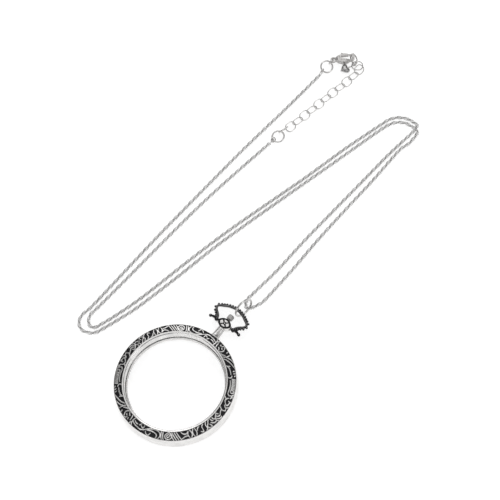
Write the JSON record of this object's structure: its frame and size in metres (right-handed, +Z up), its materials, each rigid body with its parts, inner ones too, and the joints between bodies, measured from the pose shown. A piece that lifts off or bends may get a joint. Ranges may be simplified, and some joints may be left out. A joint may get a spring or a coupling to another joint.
{
  "type": "pendant necklace with a magnifying glass",
  "caption": "Round magnifying-glass pendant in an embossed antique-silver bezel with a beaded bow, on a long rope chain with a lobster clasp and extender.",
  "frame": {"origin": "middle of the bezel's back, on the surface that the necklace lies on", "axes": "+Y from the bezel's middle along its neck to the bow, +Z up from the surface towards the crest of the bezel, +X to the right seen from above"},
  "size_m": [0.072, 0.1809, 0.0085],
  "materials": {
    "antique_silver": "polished silver-plated casting, with black in the recesses of the raised ornament",
    "dark_silver": "polished silver-plated casting darkened almost black, with bright high spots",
    "bright_silver": "polished silver plate",
    "clear_glass": "clear and polished"
  },
  "bodies": {
    "necklace": {"bezel": "antique_silver", "lens": "clear_glass", "bow": "dark_silver", "bail": "bright_silver", "chain": "bright_silver", "chain_eye_a": "bright_silver", "chain_eye_b": "bright_silver", "jump_ring_a": "bright_silver", "jump_ring_b": "bright_silver", "clasp_link": "bright_silver", "clasp_body": "bright_silver", "end_ring": "bright_silver", "ext_link_01": "bright_silver", "ext_link_02": "bright_silver", "ext_link_03": "bright_silver", "ext_link_04": "bright_silver", "ext_link_05": "bright_silver", "ext_link_06": "bright_silver", "ext_link_07": "bright_silver", "ext_link_08": "bright_silver", "ext_link_09": "bright_silver", "ext_link_10": "bright_silver", "ext_link_11": "bright_silver", "ext_link_12": "bright_silver", "ext_link_13": "bright_silver", "charm": "dark_silver"},
    "lever": {"clasp_lever": "bright_silver"}
  },
  "joints": [
    {"name": "clasp_lever_pivot", "type": "hinge", "parent": "necklace", "child": "lever", "pos_m": [-0.03635, 0.1529, 0.0016], "axis": [0, 0, -1], "range_deg": [0, 18], "stiffness_Nm_per_rad": 0.002, "springref_deg": -28.65}
  ]
}
